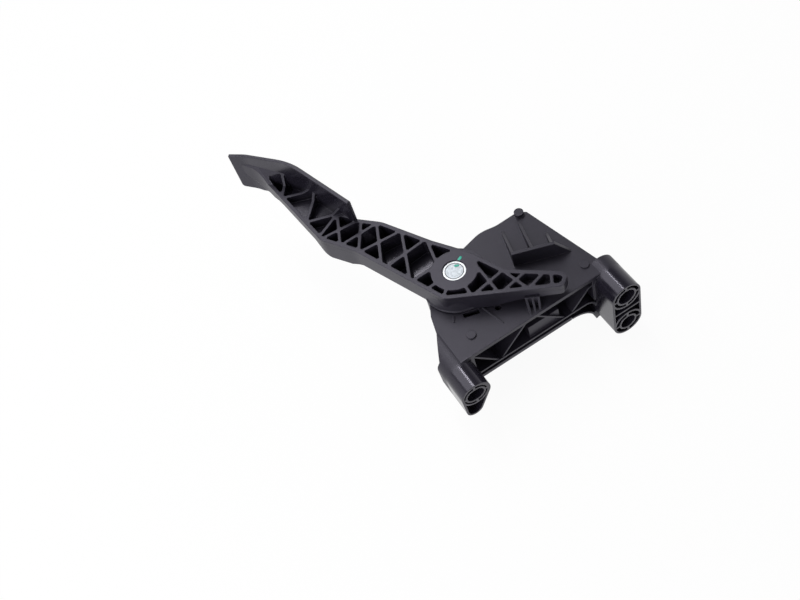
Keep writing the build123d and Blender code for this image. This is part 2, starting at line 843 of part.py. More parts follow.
def make_pin():
    """The turned pivot pin: ringed head, keyed shaft, and a tail grooved for the clip."""
    head_top = -pin_head_recess
    head_under = head_top - pin_head_thickness
    ring_in = head_ring_radius - head_ring_width / 2
    ring_out = head_ring_radius + head_ring_width / 2
    groove = pin_tail_radius - clip_grip
    profile = polygon([
        (0, head_top),
        (ring_in, head_top),
        (ring_in, head_top - head_ring_depth),
        (ring_out, head_top - head_ring_depth),
        (ring_out, head_top),
        (pin_head_radius, head_top),
        (pin_head_radius, head_under),
        (pin_radius, head_under),
        (pin_radius, rotor_end),
        (pin_tail_radius, rotor_end),
        (pin_tail_radius, clip_top),
        (groove, clip_top),
        (groove, clip_end),
        (pin_tail_radius, clip_end),
        (pin_tail_radius, pin_end),
        (0, pin_end),
    ])
    return revolve(Plane.XZ * profile, Axis.Z) - prism(key_flat(), rotor_end, rotor_top)


def key_flat():
    """What the key flat takes off the pin's round section."""
    return Circle(pin_radius) & area((pin_radius - pin_flat_depth, pin_radius), (-pin_radius, pin_radius))


def make_rotor():
    """The rotor keyed on the pin, with the arm that the springs push."""
    reach = rotor_arm_length + rotor_arm_tip
    plan = Circle(rotor_hub_radius) + area((-rotor_arm_width / 2, rotor_arm_width / 2), (-reach, 0))
    plan -= Circle(pin_radius) - key_flat()
    peg_hole = Pos(-rotor_arm_length, spring_level) * Circle(cup_peg_radius + cup_peg_clearance)
    hole_end = cup_start - cup_peg_length - cup_peg_clearance
    return prism(plan, rotor_end, rotor_top) - across(peg_hole, hole_end, cup_start)


def make_spring_cup():
    """The cup between the rotor's arm and the springs."""
    axis = Pos(-rotor_arm_length, spring_level)
    cup = across(axis * Circle(cup_radius), cup_start, spring_start)
    cup += across(axis * Circle(spigot_radius), spring_start, spring_start + spigot_length)
    return cup + across(axis * Circle(cup_peg_radius), cup_start - cup_peg_length, cup_start)


def make_spring(coil_radius, wire_radius, turns):
    """A coil spring between the cup and its seat, in short straight lengths of wire."""
    end = wire_radius + spring_end_gap
    height = spring_length - 2 * end
    count = round(turns * spring_steps)
    corners = []
    for number in range(count + 1):
        share = number / count
        turn = 2 * pi * turns * share
        place = Vector(spring_start + end + height * share, -rotor_arm_length, spring_level)
        corners.append(place + Vector(0, cos(turn), sin(turn)) * coil_radius)
    path = Polyline(*corners)
    wire = Plane(path @ 0, z_dir=path % 0) * RegularPolygon(wire_radius, wire_sides)
    return sweep(wire, path, transition=Transition.RIGHT)


def make_retaining_ring():
    """The clip in the pin's groove, open on one side."""
    grip = pin_tail_radius - clip_grip
    outer = pin_tail_radius + clip_width
    return prism(ring(outer, grip) - area((-grip, grip), (0, outer)), clip_end, clip_top)


def make_magnet_carrier():
    """The cap on the pin's end that holds the magnet."""
    carrier = prism(Circle(carrier_radius), carrier_end, carrier_top)
    carrier -= prism(Circle(pin_tail_radius), pin_end, carrier_top)
    return carrier - prism(Circle(magnet_radius), carrier_end, carrier_end + magnet_thickness)


def make_board():
    board = Pos(*box_centre) * Rectangle(board_length, board_width)
    board -= [Pos(*corner) * Circle(board_peg_radius + board_peg_clearance) for corner in board_corners()]
    return prism(board, board_end, board_top)


def make_chips():
    """Two sensors under the magnet, one on each side of the pivot axis."""
    chip = Rectangle(chip_length, chip_width)
    places = [Pos(0, -chip_spacing / 2), Pos(0, chip_spacing / 2)]
    return [prism(place * chip, board_top, board_top + chip_thickness) for place in places]


def make_contacts():
    """Contacts from both faces of the board, through the box's wall, into the plug socket."""
    start = box_centre[0] + board_length / 2 - contact_inset
    end = plug_face + contact_reach
    section = Rectangle(contact_width, contact_width)
    contacts = []
    for level in (board_top + contact_width / 2, board_end - contact_width / 2):
        for number in range(contacts_in_row):
            shift = (number - (contacts_in_row - 1) / 2) * contact_pitch
            contacts.append(across(Pos(box_centre[1] + shift, level) * section, start, end))
    return contacts


def make_screw(place):
    screw = prism(Circle(screw_head_radius), cover_under - screw_head_height, cover_under)
    return Pos(*place) * (screw + prism(Circle(screw_radius), cover_under, cover_under + screw_length))


def make_pieces():
    """Every piece of the pedal by name, drawn about the pivot."""
    washer = ring(washer_radius, pin_radius + washer_clearance)
    front_bush = ring(front_bush_radius, pin_radius + bush_clearance)
    rear_bush = ring(rear_bush_radius, pin_tail_radius + bush_clearance)
    pieces = {
        "pedal_arm": make_arm(),
        "housing": make_housing(),
        "back_cover": make_back_cover(),
        "sensor_lid": prism(box_plan(lid_inset), box_end - lid_thickness, box_end),
        "lid_seal": prism(seal_plan(), box_end, box_end + seal_depth),
        "pivot_pin": make_pin(),
        "thrust_washer": prism(washer, face_level, face_level + washer_thickness),
        "front_bush": prism(front_bush, boss_end, face_level),
        "rear_bush": prism(rear_bush, rear_bush_end, chamber_end),
        "spring_rotor": make_rotor(),
        "spring_cup": make_spring_cup(),
        "outer_spring": make_spring(outer_coil_radius, outer_wire_radius, outer_turns),
        "inner_spring": make_spring(inner_coil_radius, inner_wire_radius, inner_turns),
        "retaining_ring": make_retaining_ring(),
        "magnet_carrier": make_magnet_carrier(),
        "magnet": prism(Circle(magnet_radius), carrier_end, carrier_end + magnet_thickness),
        "circuit_board": make_board(),
    }
    for number, chip in enumerate(make_chips(), 1):
        pieces[f"sensor_chip_{number}"] = chip
    for number, contact in enumerate(make_contacts(), 1):
        pieces[f"plug_contact_{number}"] = contact
    for number, place in enumerate(screw_places, 1):
        pieces[f"cover_screw_{number}"] = make_screw(place)
    return pieces


os.makedirs("parts", exist_ok=True)
to_main_bore = Pos(-main_bore_x, wall_to_pivot, -bore_level)
for name, piece in make_pieces().items():
    export_step(to_main_bore * piece, f"parts/{name}.step")
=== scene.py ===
import json
from math import copysign, cos, hypot, pi, sin, sqrt

import bmesh
import bpy
from mathutils import Matrix, Vector


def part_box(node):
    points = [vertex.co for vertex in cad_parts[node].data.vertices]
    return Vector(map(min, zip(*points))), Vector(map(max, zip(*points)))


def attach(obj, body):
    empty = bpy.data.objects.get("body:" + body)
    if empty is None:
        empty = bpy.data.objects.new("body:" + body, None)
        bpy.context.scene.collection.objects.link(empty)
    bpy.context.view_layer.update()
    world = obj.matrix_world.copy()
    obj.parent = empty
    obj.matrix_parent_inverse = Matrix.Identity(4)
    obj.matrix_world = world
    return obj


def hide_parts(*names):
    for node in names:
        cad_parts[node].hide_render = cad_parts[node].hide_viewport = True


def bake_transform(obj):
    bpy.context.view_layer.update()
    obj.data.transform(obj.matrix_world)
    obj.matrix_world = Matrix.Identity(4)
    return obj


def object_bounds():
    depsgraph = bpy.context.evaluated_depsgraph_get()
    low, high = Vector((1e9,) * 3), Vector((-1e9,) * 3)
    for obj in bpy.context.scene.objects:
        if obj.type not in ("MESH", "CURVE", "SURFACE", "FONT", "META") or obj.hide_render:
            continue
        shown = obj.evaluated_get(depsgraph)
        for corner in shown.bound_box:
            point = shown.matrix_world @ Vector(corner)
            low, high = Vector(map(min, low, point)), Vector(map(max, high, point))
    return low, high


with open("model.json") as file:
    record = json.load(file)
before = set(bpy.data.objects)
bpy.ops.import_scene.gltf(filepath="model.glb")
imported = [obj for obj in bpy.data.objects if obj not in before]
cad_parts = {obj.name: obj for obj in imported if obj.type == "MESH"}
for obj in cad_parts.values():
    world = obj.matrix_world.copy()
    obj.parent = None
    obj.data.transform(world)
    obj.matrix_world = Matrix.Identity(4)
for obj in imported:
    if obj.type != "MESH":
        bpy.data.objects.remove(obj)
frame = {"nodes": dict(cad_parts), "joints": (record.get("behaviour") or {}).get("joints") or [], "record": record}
cad_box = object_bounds()
nodes = frame["nodes"]

# Accelerator pedal in metres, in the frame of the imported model: the origin is the mouth of the
# main mounting bore, +Y leaves the mounting wall and +Z is the pivot axis.

# Camera of the photograph
camera_place = Vector((-0.2208, -0.3159, 0.5864))
camera_right = Vector((0.840, -0.499, -0.212))
camera_up = Vector((0.525, 0.653, 0.546))
camera_lens = 45.91
camera_sensor = 36.0
camera_near = 0.01

# Studio
floor_gap = 0.0002
floor_level = cad_box[0].z - floor_gap
floor_size = 24.0
floor_grey = 0.86
floor_glow = 0.94
wall_light = 1.0
wall_top = 0.30
ceiling_light = 0.16
ceiling_start = 0.72
strip_lamp = {"place": (0.03, 0.60, 0.98), "size": (0.025, 0.9), "watts": 2.7}
overhead_lamp = {"place": (-0.40, 0.66, 1.04), "size": (1.0, 1.0), "watts": 7.2}
left_lamp = {"place": (-1.0, -0.35, 0.55), "size": (0.5, 0.8), "watts": 5.0}

# Springs between the rotor's cup and their seat
outer_wire = 0.0011
outer_turns = 6.5
inner_wire = 0.00075
inner_turns = 9.5
wire_sides = 10
steps_in_turn = 36
closed_ends = 0.45

# Cover screws, with a lobed drive recess and a coarse thread
screw_nodes = ["cover_screw_1", "cover_screw_2", "cover_screw_3", "cover_screw_4"]
head_height = 0.0022
head_edge = 0.0009
head_crown = 0.84
shank_radius = 0.0019
core_radius = 0.0015
thread_pitch = 0.0013
thread_start = 0.0012
tip_length = 0.0018
drive_lobes = 6
drive_reach = 0.0019
drive_waist = 0.00135
drive_round = 0.0003
drive_steps = 4
drive_depth = 0.0013
screw_sides = 40
thread_steps = 24
weld_distance = 0.00001
sharp_angle = 0.6

# Inspection marks dabbed on the hub and the pin
rim_level = 0.0264
paint_film = 0.00008
film_profile = ((1.0, 0.0), (0.93, 0.7), (0.6, 1.0))
rim_steps = 28
rim_waves = ((0.06, 3, 0.8), (0.05, 7, 0.0))
rim_squareness = 0.6
hub_mark = {"place": (0.0084, 0.0060), "length": 0.0037, "width": 0.0021, "turn": 0.40}
pin_mark = {"place": (0.0036, 0.0028), "length": 0.0036, "width": 0.0019, "turn": -0.55}

# Zones of the mouldings, from the frame's origin
lug_end = 0.0195
main_lug_side = -0.0125
slot_lug_side = -0.1105
zone_blur = 0.0022
lug_gloss = 0.17
parting_level = 0.0228
parting_width = 0.0003
parting_depth = 0.00012
# How dark the parting line is: painted shade in its groove
parting_groove_shade = 0.2
polished_grain = 0.04

# Pockets of the arm: the middle lines of its two flanges from the hub to the pad's tip, the slope
# between walls and floors, the level over the floors and the start of the tip
core_near = [
    (-0.1035, 0.0600),
    (-0.1321, 0.1359),
    (-0.1469, 0.1597),
    (-0.1528, 0.2215),
    (-0.1549, 0.2433),
    (-0.1675, 0.2598),
]
core_far = [
    (-0.0744, 0.0860),
    (-0.1052, 0.1440),
    (-0.1185, 0.1583),
    (-0.1366, 0.2215),
    (-0.1528, 0.2433),
    (-0.1595, 0.2524),
]
core_slope = (0.5, 0.7)
core_blur = 0.0003
core_top = 0.0200
core_tip = 0.2350
core_gloss = 0.23

# Fillet under the arch beside the main lug: the arch's axis and outer radius, the lug's radius and
# the level of its lower bore
arch_axis = (-0.0317, -0.0416)
arch_radius = 0.0208
lug_radius = 0.0113
lower_bore = -0.031
fillet_span = (0.0203, 0.0308)
fillet_levels = (-0.0395, -0.0305)
fillet_steps = 8

# Ranges that several finishes share, the painted shade in the groove of the pin's head and the board's tracks
tone_range = (0.3, 0.7)
shine_play = 0.06
metal_play = 0.08
grain_to_cloud = 12
edge_turn = (0.995, 0.86)
rub_range = (0.35, 0.62)
least_rub = 0.15
tarnish_scale = 700.0
tarnish_range = (0.4, 0.65)
pin_edge = 0.0003
# Colour, cover and spread of the darker ring over the pin head's groove: painted shade
head_ring = (0.0062, 0.0067)
groove_shade_colour = (0.05, 0.05, 0.055)
groove_shade_cover = 0.75
groove_shade_spread = 1.3
mask_colour = (0.012, 0.085, 0.035)
track_colour = (0.030, 0.170, 0.060)
track_scale = 260.0
track_width = 0.035
track_height = 0.00003


# Shader helpers

def shader_node(tree, kind, values=None, **settings):
    """Add a shader node, with its settings and the plain values of its inputs."""
    node = tree.nodes.new("ShaderNode" + kind)
    for name, value in settings.items():
        setattr(node, name, value)
    for name, value in (values or {}).items():
        node.inputs[name].default_value = value
    return node


def feed(tree, value, socket):
    """Give an input a plain number, or link it to an output."""
    if isinstance(value, (int, float)):
        socket.default_value = value
    else:
        tree.links.new(value, socket)


def math_node(tree, operation, first, second):
    """Add a Math node to a shader or geometry tree; each operand is a socket or a number."""
    node = shader_node(tree, "Math", operation=operation)
    feed(tree, first, node.inputs[0])
    feed(tree, second, node.inputs[1])
    return node.outputs[0]


def blend_colours(tree, mask, first, second):
    """Mix two colours, or a socket and a colour, by a mask."""
    node = shader_node(tree, "Mix", data_type="RGBA")
    tree.links.new(mask, node.inputs["Factor"])
    for place, operand in ((6, first), (7, second)):
        if isinstance(operand, tuple):
            node.inputs[place].default_value = (*operand, 1.0)
        else:
            tree.links.new(operand, node.inputs[place])
    return node.outputs[2]


def spread(tree, value, low, high, to_low, to_high):
    """Map a value's range onto another, held at its ends."""
    values = {"From Min": low, "From Max": high, "To Min": to_low, "To Max": to_high}
    node = shader_node(tree, "MapRange", values)
    tree.links.new(value, node.inputs["Value"])
    return node.outputs["Result"]


def soft_step(tree, value, level, blur, below, above):
    """One number below a level and another above it, with a soft change between."""
    return spread(tree, value, level - blur, level + blur, below, above)


def split(tree, vector):
    """The three parts of a vector, by their names."""
    node = shader_node(tree, "SeparateXYZ")
    tree.links.new(vector, node.inputs["Vector"])
    return node.outputs


def shaded_point(tree):
    """The coordinates of the shaded point in the frame, by their names."""
    return split(tree, shader_node(tree, "TexCoord").outputs["Object"])


def noise(tree, vector, scale, detail=2.0, roughness=0.5):
    """A noise pattern at a scale given per metre, or by a socket."""
    node = shader_node(tree, "TexNoise", {"Detail": detail, "Roughness": roughness})
    tree.links.new(vector, node.inputs["Vector"])
    feed(tree, scale, node.inputs["Scale"])
    return node.outputs["Fac"]


def new_group(name, inputs, outputs):
    """A shader node group with named sockets, and its end nodes."""
    tree = bpy.data.node_groups.new(name, "ShaderNodeTree")
    for socket, kind, value in inputs:
        made = tree.interface.new_socket(socket, in_out="INPUT", socket_type="NodeSocket" + kind)
        made.default_value = value
    for socket, kind in outputs:
        tree.interface.new_socket(socket, in_out="OUTPUT", socket_type="NodeSocket" + kind)
    return tree, tree.nodes.new("NodeGroupInput"), tree.nodes.new("NodeGroupOutput")


def place_group(tree, group, values):
    """Use a shader node group in a tree, with the plain values of its inputs."""
    node = tree.nodes.new("ShaderNodeGroup")
    node.node_tree = group
    for name, value in values.items():
        node.inputs[name].default_value = value
    return node


# Effects that several finishes share

def make_mould_texture():
    """Spark-eroded grain and the slow cloudiness of glass-filled plastic."""
    inputs = [("Grain scale", "Float", 2600.0), ("Cloud scale", "Float", 60.0)]
    group, start, end = new_group("mould_texture", inputs, [("Grain", "Float"), ("Cloud", "Float")])
    place = shader_node(group, "TexCoord").outputs["Object"]
    fine = noise(group, place, start.outputs["Grain scale"], detail=3.0, roughness=0.6)
    slow = noise(group, place, start.outputs["Cloud scale"], detail=4.0, roughness=0.55)
    group.links.new(fine, end.inputs["Grain"])
    group.links.new(spread(group, slow, *tone_range, 0.0, 1.0), end.inputs["Cloud"])
    return group


def make_soft_edges():
    """Rounded edges of a moulding or casting, and a mask where hands and tools have rubbed them, which also paints
    a highlight along every edge.
    """
    inputs = [("Rub scale", "Float", 420.0), ("Edge radius", "Float", 0.0006)]
    group, start, end = new_group("soft_edges", inputs, [("Normal", "Vector"), ("Wear and highlight", "Float")])
    bevel = shader_node(group, "Bevel", samples=6)
    group.links.new(start.outputs["Edge radius"], bevel.inputs["Radius"])
    face = shader_node(group, "NewGeometry")
    turn = shader_node(group, "VectorMath", operation="DOT_PRODUCT")
    group.links.new(bevel.outputs["Normal"], turn.inputs[0])
    group.links.new(face.outputs["Normal"], turn.inputs[1])
    edge = spread(group, turn.outputs["Value"], *edge_turn, 0.0, 1.0)
    place = shader_node(group, "TexCoord").outputs["Object"]
    patches = noise(group, place, start.outputs["Rub scale"], detail=4.0)
    rub = spread(group, patches, *rub_range, least_rub, 1.0)
    group.links.new(bevel.outputs["Normal"], end.inputs["Normal"])
    group.links.new(math_node(group, "MULTIPLY", edge, rub), end.inputs["Wear and highlight"])
    return group


def make_turned_rings():
    """Fine tool rings round an upright axis, as a lathe leaves them."""
    inputs = [("Axis", "Vector", (0.0, 0.0, 0.0)), ("Rings", "Float", 5200.0)]
    outputs = [("Height", "Float"), ("Tone", "Float"), ("Reach", "Float")]
    group, start, end = new_group("turned_rings", inputs, outputs)
    place = shader_node(group, "TexCoord").outputs["Object"]
    away = shader_node(group, "VectorMath", operation="SUBTRACT")
    group.links.new(place, away.inputs[0])
    group.links.new(start.outputs["Axis"], away.inputs[1])
    flat = shader_node(group, "VectorMath", operation="MULTIPLY")
    flat.inputs[1].default_value = (1.0, 1.0, 0.0)
    group.links.new(away.outputs[0], flat.inputs[0])
    reach = shader_node(group, "VectorMath", operation="LENGTH")
    group.links.new(flat.outputs[0], reach.inputs[0])
    turns = math_node(group, "MULTIPLY", reach.outputs["Value"], start.outputs["Rings"])
    wave = math_node(group, "SINE", turns, 0.0)
    group.links.new(spread(group, wave, -1.0, 1.0, 0.0, 1.0), end.inputs["Height"])
    group.links.new(noise(group, place, tarnish_scale, detail=3.0), end.inputs["Tone"])
    group.links.new(reach.outputs["Value"], end.inputs["Reach"])
    return group


mould_texture = make_mould_texture()
soft_edges = make_soft_edges()
turned_rings = make_turned_rings()


# Finishes

def new_finish(name, roughness=0.5, metallic=0.0, **sockets):
    """A material with its shader; plain numbers are set on the shader itself."""
    material = bpy.data.materials.new(name)
    material.use_nodes = True
    tree = material.node_tree
    shader = tree.nodes["Principled BSDF"]
    shader.inputs["Roughness"].default_value = roughness
    shader.inputs["Metallic"].default_value = metallic
    for socket, value in sockets.items():
        shader.inputs[socket.replace("_", " ")].default_value = value
    return material, tree, shader


def roughen(tree, shader, height, depth, normal=None):
    """Give the shader a bump from a height pattern, over an edge normal if there is one."""
    bump = shader_node(tree, "Bump", {"Distance": depth, "Strength": 1.0})
    tree.links.new(height, bump.inputs["Height"])
    if normal is not None:
        tree.links.new(normal, bump.inputs["Normal"])
    tree.links.new(bump.outputs["Normal"], shader.inputs["Normal"])


def moulded_plastic(
    name,
    colour,
    wear_and_highlight,
    roughness,
    grain=2600.0,
    depth=0.00002,
    cloud=0.18,
    edge=0.0006,
    polish=None,
    gloss=0.2,
    seam=None,
    **sockets,
):
    """Moulded plastic with grain, a cloudy tone and edges made paler by rubbed wear and a painted highlight.

    polish and seam are functions that draw a glossier zone and a parting line; the parting line's dark tone is
    painted shade in its groove.
    """
    material, tree, shader = new_finish(name, **sockets)
    texture = place_group(tree, mould_texture, {"Grain scale": grain})
    edges = place_group(tree, soft_edges, {"Edge radius": edge})
    deep = tuple(part * (1.0 - cloud) for part in colour)
    pale = tuple(part * (1.0 + cloud) for part in colour)
    tone = blend_colours(tree, texture.outputs["Cloud"], deep, pale)
    # Paler edges: rubbed wear and a painted highlight
    tone = blend_colours(tree, edges.outputs["Wear and highlight"], tone, wear_and_highlight)
    height = texture.outputs["Grain"]
    if polish is None:
        low, high = roughness - shine_play, roughness + shine_play
        shine = spread(tree, texture.outputs["Cloud"], 0.0, 1.0, low, high)
    else:
        matte = spread(tree, polish(tree), 0.0, 1.0, 1.0, 0.0)
        shine = math_node(tree, "ADD", math_node(tree, "MULTIPLY", matte, roughness - gloss), gloss)
        grain_left = spread(tree, matte, 0.0, 1.0, polished_grain, 1.0)
        height = math_node(tree, "MULTIPLY", height, grain_left)
    if seam is not None:
        line = seam(tree)
        # The parting line is darkened with painted shade; the bump below makes its real groove
        tone = blend_colours(tree, line, tone, tuple(part * parting_groove_shade for part in colour))
        groove = math_node(tree, "MULTIPLY", line, parting_depth / depth)
        height = math_node(tree, "SUBTRACT", height, groove)
    tree.links.new(tone, shader.inputs["Base Color"])
    tree.links.new(shine, shader.inputs["Roughness"])
    roughen(tree, shader, height, depth, edges.outputs["Normal"])
    return material


def parting_line(tree):
    """1 along the line where the two halves of the arm's mould met."""
    over = math_node(tree, "SUBTRACT", shaded_point(tree)["Z"], parting_level)
    away = math_node(tree, "ABSOLUTE", over, 0.0)
    return spread(tree, away, parting_width / 2, parting_width, 1.0, 0.0)


def lug_zone(tree):
    """1 on the two mounting lugs, which come from a polished part of the mould."""
    place = shaded_point(tree)
    front = soft_step(tree, place["Y"], lug_end, zone_blur, 1.0, 0.0)
    main = soft_step(tree, place["X"], main_lug_side, zone_blur, 0.0, 1.0)
    slot = soft_step(tree, place["X"], slot_lug_side, zone_blur, 1.0, 0.0)
    return math_node(tree, "MULTIPLY", front, math_node(tree, "MAXIMUM", main, slot))


def beside(tree, place, start, end, low, high):
    """1 to the left of a line in plan, from its start to its end, and 0 to the right."""
    run, rise = end[0] - start[0], end[1] - start[1]
    length = hypot(run, rise)
    across = math_node(tree, "MULTIPLY", place["X"], -rise / length)
    along = math_node(tree, "MULTIPLY", place["Y"], run / length)
    away = math_node(tree, "ADD", across, along)
    level = (start[1] * run - start[0] * rise) / length
    return spread(tree, away, level + low, level + high, 0.0, 1.0)


def cored_zone(tree):
    """1 on the walls and floors of the arm's pockets, which a polished core has moulded."""
    place = shaded_point(tree)
    inside = None
    for near, far, next_far, next_near in zip(core_near, core_far, core_far[1:], core_near[1:]):
        zone = math_node(
            tree,
            "MULTIPLY",
            beside(tree, place, far, next_far, -core_blur, core_blur),
            beside(tree, place, next_near, near, -core_blur, core_blur),
        )
        # The ends reach over their lines, so that no seam shows between two lengths
        for start, end in ((near, far), (next_far, next_near)):
            reach = beside(tree, place, start, end, -3 * core_blur, -core_blur)
            zone = math_node(tree, "MULTIPLY", zone, reach)
        inside = zone if inside is None else math_node(tree, "MAXIMUM", inside, zone)
    facing = split(tree, shader_node(tree, "NewGeometry").outputs["Normal"])["Z"]
    wall = spread(tree, math_node(tree, "ABSOLUTE", facing, 0.0), *core_slope, 1.0, 0.0)
    low = soft_step(tree, place["Z"], core_top, core_blur, 1.0, 0.0)
    tip = soft_step(tree, place["Y"], core_tip, core_blur, 0.0, 1.0)
    upward = spread(tree, facing, *core_slope, 0.0, 1.0)
    floor = math_node(tree, "MULTIPLY", upward, math_node(tree, "MAXIMUM", low, tip))
    return math_node(tree, "MULTIPLY", inside, math_node(tree, "MAXIMUM", wall, floor))


def turned_metal(name, colour, dull, rim, roughness, axis, rings=5200.0, depth=0.000004):
    """Turned metal with tool rings and dull patches; a darker ring of painted shade in its groove bounds its
    bright rim.
    """
    material, tree, shader = new_finish(name, metallic=1.0)
    lathe = place_group(tree, turned_rings, {"Axis": axis, "Rings": rings})
    edges = place_group(tree, soft_edges, {"Edge radius": pin_edge})
    patches = spread(tree, lathe.outputs["Tone"], *tarnish_range, 0.0, 1.0)
    tone = blend_colours(tree, patches, colour, dull)
    outside = spread(tree, lathe.outputs["Reach"], *head_ring, 0.0, 1.0)
    tone = blend_colours(tree, outside, tone, rim)
    middle = sum(head_ring) / 2
    half = middle - head_ring[0]
    away = math_node(tree, "SUBTRACT", lathe.outputs["Reach"], middle)
    away = math_node(tree, "ABSOLUTE", away, 0.0)
    # A darker ring over the head's groove: painted shade
    groove_shade = spread(tree, away, half, groove_shade_spread * half, groove_shade_cover, 0.0)
    tree.links.new(blend_colours(tree, groove_shade, tone, groove_shade_colour), shader.inputs["Base Color"])
    low, high = roughness - shine_play, roughness + metal_play
    shine = spread(tree, lathe.outputs["Tone"], *tone_range, low, high)
    tree.links.new(shine, shader.inputs["Roughness"])
    roughen(tree, shader, lathe.outputs["Height"], depth, edges.outputs["Normal"])
    return material


def cast_or_drawn(name, colour, dull, roughness, metallic, scale, depth):
    """Plain metal, ferrite or rubber with an even fine texture."""
    material, tree, shader = new_finish(name, metallic=metallic)
    scales = {"Grain scale": scale, "Cloud scale": scale / grain_to_cloud}
    texture = place_group(tree, mould_texture, scales)
    edges = place_group(tree, soft_edges, {})
    tone = blend_colours(tree, texture.outputs["Cloud"], colour, dull)
    tree.links.new(tone, shader.inputs["Base Color"])
    low, high = roughness - metal_play, roughness + metal_play
    shine = spread(tree, texture.outputs["Grain"], *tone_range, low, high)
    tree.links.new(shine, shader.inputs["Roughness"])
    roughen(tree, shader, texture.outputs["Grain"], depth, edges.outputs["Normal"])
    return material


def board_laminate():
    """Green solder mask over copper tracks."""
    material, tree, shader = new_finish("board_laminate", roughness=0.32)
    place = shader_node(tree, "TexCoord").outputs["Object"]
    values = {"Scale": track_scale, "Mortar Size": track_width, "Bias": 0.0}
    tracks = shader_node(tree, "TexBrick", values)
    tree.links.new(place, tracks.inputs["Vector"])
    tracks.inputs["Color1"].default_value = (0.0, 0.0, 0.0, 1.0)
    tracks.inputs["Color2"].default_value = (0.0, 0.0, 0.0, 1.0)
    tracks.inputs["Mortar"].default_value = (1.0, 1.0, 1.0, 1.0)
    mask = tracks.outputs["Color"]
    tone = blend_colours(tree, mask, mask_colour, track_colour)
    tree.links.new(tone, shader.inputs["Base Color"])
    roughen(tree, shader, mask, track_height)
    return material


pivot = frame["joints"][0]["pos_m"]
violet_gloss = (0.89, 0.86, 1.0, 1.0)
finishes = {
    "arm_plastic": moulded_plastic(
        "arm_plastic",
        (0.0140, 0.0126, 0.0195),
        (0.034, 0.032, 0.043),
        0.42,
        edge=0.0008,
        polish=cored_zone,
        gloss=core_gloss,
        seam=parting_line,
        Specular_Tint=violet_gloss,
    ),
    "housing_plastic": moulded_plastic(
        "housing_plastic",
        (0.0120, 0.0108, 0.0168),
        (0.030, 0.028, 0.038),
        0.46,
        polish=lug_zone,
        gloss=lug_gloss,
        Specular_Tint=violet_gloss,
    ),
    "seal_rubber": cast_or_drawn(
        "seal_rubber",
        (0.012, 0.012, 0.012),
        (0.02, 0.02, 0.02),
        roughness=0.7,
        metallic=0.0,
        scale=1800.0,
        depth=0.00002,
    ),
    "pin_steel": turned_metal(
        "pin_steel", (0.43, 0.46, 0.49), (0.335, 0.36, 0.39), (0.62, 0.64, 0.66), 0.46, pivot
    ),
    "washer_plastic": moulded_plastic(
        "washer_plastic", (0.74, 0.72, 0.66), (0.80, 0.79, 0.74), 0.42, cloud=0.06
    ),
    "bush_bronze": cast_or_drawn(
        "bush_bronze",
        (0.43, 0.27, 0.12),
        (0.30, 0.18, 0.08),
        roughness=0.42,
        metallic=1.0,
        scale=3600.0,
        depth=0.00002,
    ),
    "rotor_plastic": moulded_plastic(
        "rotor_plastic", (0.050, 0.050, 0.054), (0.11, 0.11, 0.115), 0.44
    ),
    "spring_steel": cast_or_drawn(
        "spring_steel",
        (0.36, 0.36, 0.37),
        (0.22, 0.21, 0.21),
        roughness=0.34,
        metallic=1.0,
        scale=2400.0,
        depth=0.000008,
    ),
    "magnet_ferrite": cast_or_drawn(
        "magnet_ferrite",
        (0.06, 0.06, 0.062),
        (0.035, 0.035, 0.036),
        roughness=0.5,
        metallic=0.2,
        scale=3000.0,
        depth=0.00001,
    ),
    "board_laminate": board_laminate(),
    "chip_epoxy": moulded_plastic(
        "chip_epoxy", (0.012, 0.012, 0.013), (0.03, 0.03, 0.03), 0.55, grain=5200.0
    ),
    "contact_brass": cast_or_drawn(
        "contact_brass",
        (0.70, 0.68, 0.63),
        (0.56, 0.53, 0.46),
        roughness=0.26,
        metallic=1.0,
        scale=2600.0,
        depth=0.000005,
    ),
    "screw_steel": cast_or_drawn(
        "screw_steel",
        (0.44, 0.45, 0.47),
        (0.33, 0.33, 0.32),
        roughness=0.40,
        metallic=1.0,
        scale=2200.0,
        depth=0.00001,
    ),
}
inspection_green = moulded_plastic(
    "inspection_green", (0.035, 0.40, 0.29), (0.06, 0.50, 0.38), 0.45, grain=3400.0, cloud=0.2
)

slot_of = {part["node"]: part["material_slot"] for part in frame["record"]["subparts"]}
for name, node in nodes.items():
    node.data.materials.clear()
    node.data.materials.append(finishes[slot_of[name]])


# Geometry Nodes helpers

def geometry_node(tree, kind, values=None, **settings):
    """Add a geometry node, with its settings and the plain values of its inputs."""
    node = tree.nodes.new(kind)
    for name, value in settings.items():
        setattr(node, name, value)
    for name, value in (values or {}).items():
        node.inputs[name].default_value = value
    return node


def new_tree(name, inputs):
    """A geometry tree with named inputs for its sizes, and its end nodes."""
    tree = bpy.data.node_groups.new(name, "GeometryNodeTree")
    tree.interface.new_socket("Geometry", in_out="INPUT", socket_type="NodeSocketGeometry")
    for socket, kind in inputs:
        tree.interface.new_socket(socket, in_out="INPUT", socket_type="NodeSocket" + kind)
    tree.interface.new_socket("Geometry", in_out="OUTPUT", socket_type="NodeSocketGeometry")
    return tree, tree.nodes.new("NodeGroupInput"), tree.nodes.new("NodeGroupOutput")


def finish_tree(tree, start, end, geometry):
    """Realise what a tree has made and give it the material input."""
    real = geometry_node(tree, "GeometryNodeRealizeInstances")
    coat = geometry_node(tree, "GeometryNodeSetMaterial")
    tree.links.new(geometry, real.inputs["Geometry"])
    tree.links.new(real.outputs["Geometry"], coat.inputs["Geometry"])
    tree.links.new(start.outputs["Material"], coat.inputs["Material"])
    tree.links.new(coat.outputs["Geometry"], end.inputs["Geometry"])


